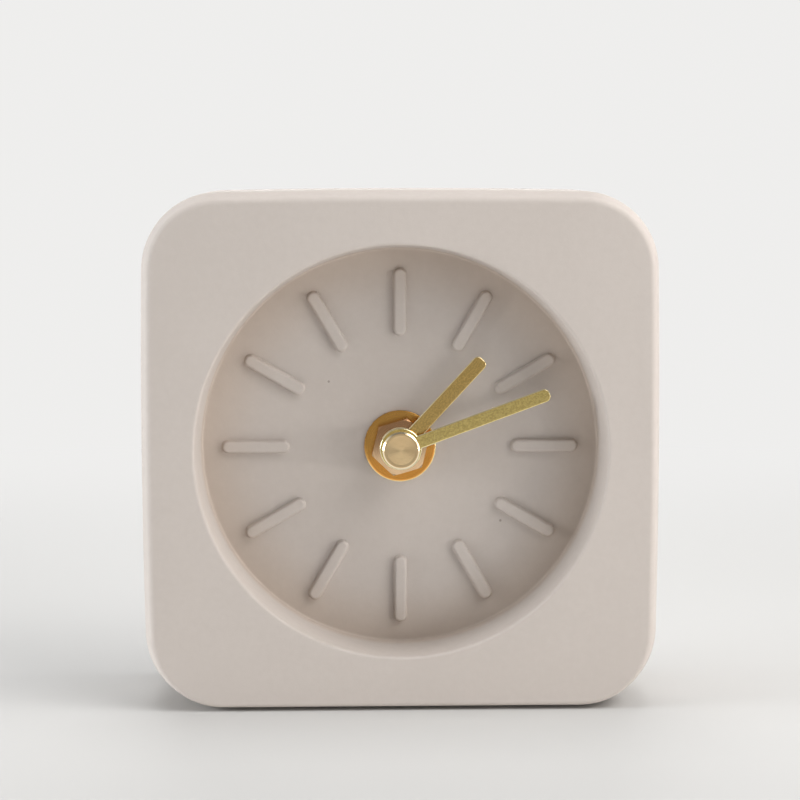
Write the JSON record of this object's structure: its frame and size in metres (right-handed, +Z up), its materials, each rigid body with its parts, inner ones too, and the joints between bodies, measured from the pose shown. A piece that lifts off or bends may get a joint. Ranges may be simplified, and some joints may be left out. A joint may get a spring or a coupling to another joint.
{
  "type": "pendulette clock",
  "caption": "Rounded-square cast stone desk clock with a round recessed dial, raised batons, brass hands and a quartz movement behind.",
  "frame": {"origin": "middle of the base, half way through the case's depth", "axes": "+X to the right seen from the front, +Y from the dial to the back, +Z up"},
  "size_m": [0.1, 0.04, 0.1],
  "materials": {
    "cast_stone": "matte",
    "black_rubber": "matte",
    "washer_brass": "satin",
    "nut_brass": "satin",
    "bush_brass": "satin",
    "hand_brass": "satin",
    "turned_brass": "satin",
    "wheel_plastic": "satin",
    "shell_plastic": "matte",
    "plate_plastic": "matte",
    "magnet_ferrite": "matte",
    "stator_iron": "satin",
    "copper_wire": "gloss",
    "board_laminate": "satin",
    "crystal_can": "satin",
    "contact_nickel": "satin",
    "cell_sleeve": "satin"
  },
  "bodies": {
    "clock": {"case": "cast_stone", "rubber_gasket": "black_rubber", "dial_washer": "washer_brass", "hex_nut": "nut_brass", "threaded_bush": "bush_brass", "movement_housing": "shell_plastic", "movement_cover": "shell_plastic", "train_plate": "plate_plastic", "train_bridge": "plate_plastic", "stator": "stator_iron", "coil_core": "stator_iron", "coil_bobbin": "wheel_plastic", "coil_winding": "copper_wire", "circuit_board": "board_laminate", "driver_chip": "shell_plastic", "quartz_crystal": "crystal_can", "positive_contact": "contact_nickel", "negative_contact": "contact_nickel"},
    "minute_set": {"minute_hand": "hand_brass", "cap_nut": "turned_brass", "minute_pipe": "bush_brass"},
    "hour_set": {"hour_hand": "hand_brass", "hour_wheel": "wheel_plastic"},
    "minute_wheel_set": {"minute_wheel": "wheel_plastic"},
    "setting_set": {"setting_knob": "shell_plastic", "setting_pinion": "wheel_plastic"},
    "rotor_set": {"rotor_magnet": "magnet_ferrite", "rotor_pinion": "wheel_plastic"},
    "fifth_set": {"fifth_wheel": "wheel_plastic"},
    "seconds_set": {"seconds_wheel": "wheel_plastic"},
    "third_set": {"third_wheel": "wheel_plastic"},
    "centre_set": {"centre_wheel": "wheel_plastic"},
    "cell": {"battery_cell": "cell_sleeve"}
  },
  "joints": [
    {"name": "minute_turn", "type": "hinge", "parent": "clock", "child": "minute_set", "pos_m": [0, -0.013, 0.05], "axis": [0, 1, 0], "continuous": true},
    {"name": "hour_turn", "type": "hinge", "parent": "clock", "child": "hour_set", "pos_m": [0, -0.0115, 0.05], "axis": [0, 1, 0], "continuous": true},
    {"name": "minute_wheel_turn", "type": "hinge", "parent": "clock", "child": "minute_wheel_set", "pos_m": [0.00886, 0.0046, 0.05156], "axis": [0, 1, 0], "continuous": true},
    {"name": "setting_turn", "type": "hinge", "parent": "clock", "child": "setting_set", "pos_m": [0.01576, 0.018, 0.05735], "axis": [0, 1, 0], "continuous": true},
    {"name": "rotor_turn", "type": "hinge", "parent": "clock", "child": "rotor_set", "pos_m": [0, 0.012, 0.06356], "axis": [0, 1, 0], "continuous": true},
    {"name": "fifth_turn", "type": "hinge", "parent": "clock", "child": "fifth_set", "pos_m": [-0.00143, 0.0103, 0.0581], "axis": [0, 1, 0], "continuous": true},
    {"name": "seconds_turn", "type": "hinge", "parent": "clock", "child": "seconds_set", "pos_m": [0, 0.0092, 0.05], "axis": [0, 1, 0], "continuous": true},
    {"name": "third_turn", "type": "hinge", "parent": "clock", "child": "third_set", "pos_m": [-0.00788, 0.0082, 0.05139], "axis": [0, 1, 0], "continuous": true},
    {"name": "centre_turn", "type": "hinge", "parent": "clock", "child": "centre_set", "pos_m": [0, 0.0071, 0.05], "axis": [0, 1, 0], "continuous": true},
    {"name": "cell_slide", "type": "slide", "parent": "clock", "child": "cell", "axis": [0, 1, 0], "range_m": [0, 0.022]}
  ],
  "couplings": [
    {"joint": "hour_turn", "follows": "minute_turn", "ratio": 0.083333},
    {"joint": "minute_wheel_turn", "follows": "minute_turn", "ratio": -0.33333},
    {"joint": "setting_turn", "follows": "minute_turn", "ratio": 1},
    {"joint": "fifth_turn", "follows": "rotor_turn", "ratio": -0.2},
    {"joint": "seconds_turn", "follows": "rotor_turn", "ratio": 0.033333},
    {"joint": "third_turn", "follows": "rotor_turn", "ratio": -0.0044444},
    {"joint": "centre_turn", "follows": "rotor_turn", "ratio": 0.00055556}
  ]
}
